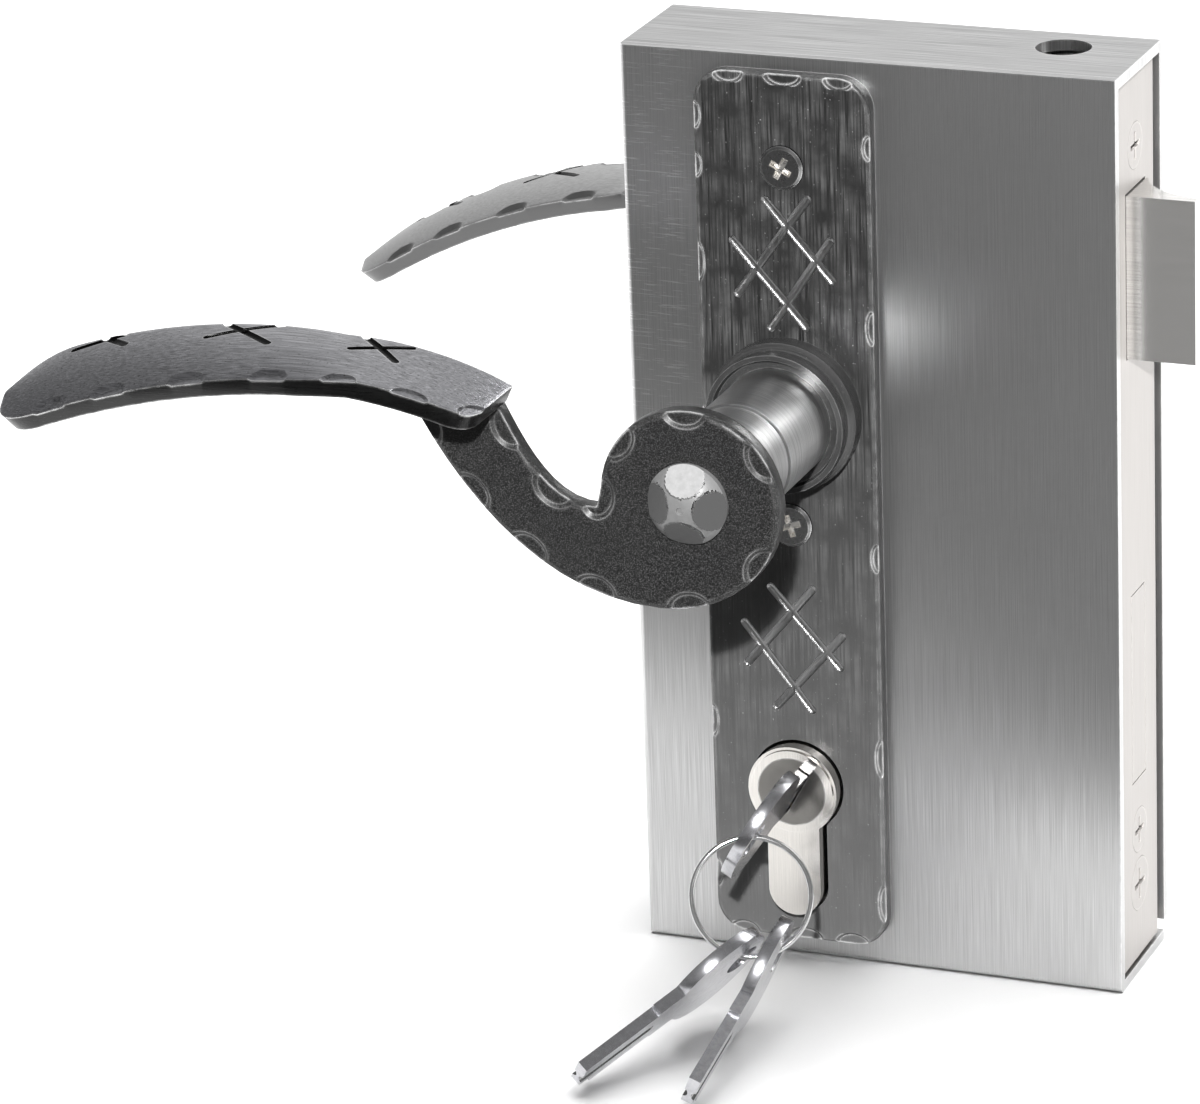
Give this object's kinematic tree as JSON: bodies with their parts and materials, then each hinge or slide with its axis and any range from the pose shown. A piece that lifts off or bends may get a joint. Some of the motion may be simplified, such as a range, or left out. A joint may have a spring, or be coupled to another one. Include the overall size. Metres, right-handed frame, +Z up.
{
  "type": "gate lock box",
  "caption": "Weld-on steel gate lock box with a mortice lock, a sprung latch, a dead bolt, a profile cylinder with keys on a ring, and forged lever handles on long backplates",
  "frame": {"origin": "centre of the box's underside", "axes": "X towards the faceplate and the latch, Y towards the back, Z up"},
  "size_m": [0.2002, 0.1794, 0.172],
  "materials": {
    "box_steel": "bare ground sheet steel with a vertical grain",
    "faceplate_plating": "satin nickel plating",
    "zinc_screws": "zinc plated",
    "case_steel": "zinc plated sheet",
    "inner_brass": "bare brass",
    "bolt_nickel": "satin nickel plating, brushed",
    "spring_steel": "oiled spring steel",
    "spindle_steel": "bare drawn steel",
    "cylinder_nickel": "nickel plated brass",
    "forged_iron": "hammered, blackened and brushed bright on its edges",
    "black_iron": "black, half gloss",
    "neck_iron": "turned and darkened, brushed round",
    "rivet_steel": "hammered, half bright",
    "key_nickel": "nickel plated, bright",
    "ring_steel": "bright split ring"
  },
  "bodies": {
    "lock_box": {"box_front_shell": "box_steel", "box_back_shell": "box_steel", "faceplate": "faceplate_plating", "faceplate_screws": "zinc_screws", "retaining_screw": "zinc_screws", "lock_case": "case_steel", "case_cover": "case_steel", "case_pillars": "inner_brass", "case_screws": "zinc_screws", "latch_spring": "spring_steel", "bolt_leaf_spring": "spring_steel", "cylinder_body": "cylinder_nickel", "rear_plug": "cylinder_nickel", "driver_pins": "inner_brass", "front_backplate": "forged_iron", "rear_backplate": "forged_iron", "backplate_screws": "zinc_screws", "sleeve_nuts": "zinc_screws", "front_collar": "black_iron", "rear_collar": "black_iron"},
    "levers": {"spindle": "spindle_steel", "follower": "inner_brass", "front_neck": "neck_iron", "rear_neck": "neck_iron", "front_scroll": "forged_iron", "rear_scroll": "forged_iron", "front_grip": "forged_iron", "rear_grip": "forged_iron", "front_rivet": "rivet_steel", "rear_rivet": "rivet_steel", "grub_screws": "black_iron"},
    "latch": {"latch_bolt": "bolt_nickel"},
    "bolt": {"dead_bolt": "bolt_nickel"},
    "plug": {"front_plug": "cylinder_nickel", "cylinder_cam": "cylinder_nickel", "key_pins": "inner_brass"},
    "inserted_key": {"key": "key_nickel"},
    "ring": {"key_ring": "ring_steel"},
    "left_key": {"left_spare_key": "key_nickel"},
    "right_key": {"right_spare_key": "key_nickel"}
  },
  "joints": [
    {"name": "lever_turn", "type": "hinge", "parent": "lock_box", "child": "levers", "pos_m": [-0.0145, 0, 0.107], "axis": [0, -1, 0], "range_deg": [0, 42], "stiffness_Nm_per_rad": 1, "springref_deg": -22.92},
    {"name": "latch_slide", "type": "slide", "parent": "lock_box", "child": "latch", "axis": [-1, 0, 0], "range_m": [0, 0.0141], "deforming": ["latch_spring"]},
    {"name": "key_turn", "type": "hinge", "parent": "lock_box", "child": "plug", "pos_m": [-0.0145, 0, 0.035], "axis": [0, 1, 0], "range_deg": [0, 96]},
    {"name": "dead_bolt_slide", "type": "slide", "parent": "lock_box", "child": "bolt", "axis": [1, 0, 0], "range_m": [0, 0.018]},
    {"name": "key_pull", "type": "slide", "parent": "plug", "child": "inserted_key", "axis": [0, -1, 0], "range_m": [0, 0.024]},
    {"name": "ring_swing", "type": "hinge", "parent": "inserted_key", "child": "ring", "pos_m": [-0.0145, -0.0425, 0.035], "axis": [-0.9239, -0.3827, 0], "range_deg": [-20, 60]},
    {"name": "left_key_round_ring", "type": "hinge", "parent": "ring", "child": "left_key", "pos_m": [-0.0131, -0.04588, 0.02494], "axis": [-0.3596, 0.8682, -0.342], "range_deg": [0, 60]},
    {"name": "right_key_round_ring", "type": "hinge", "parent": "ring", "child": "right_key", "pos_m": [-0.0131, -0.04588, 0.02494], "axis": [0.3596, -0.8682, 0.342], "range_deg": [0, 60]}
  ],
  "couplings": [
    {"joint": "latch_slide", "follows": "lever_turn", "m_per_rad": 0.019098},
    {"joint": "key_turn", "follows": "dead_bolt_slide", "rad_per_m": 93.084}
  ]
}
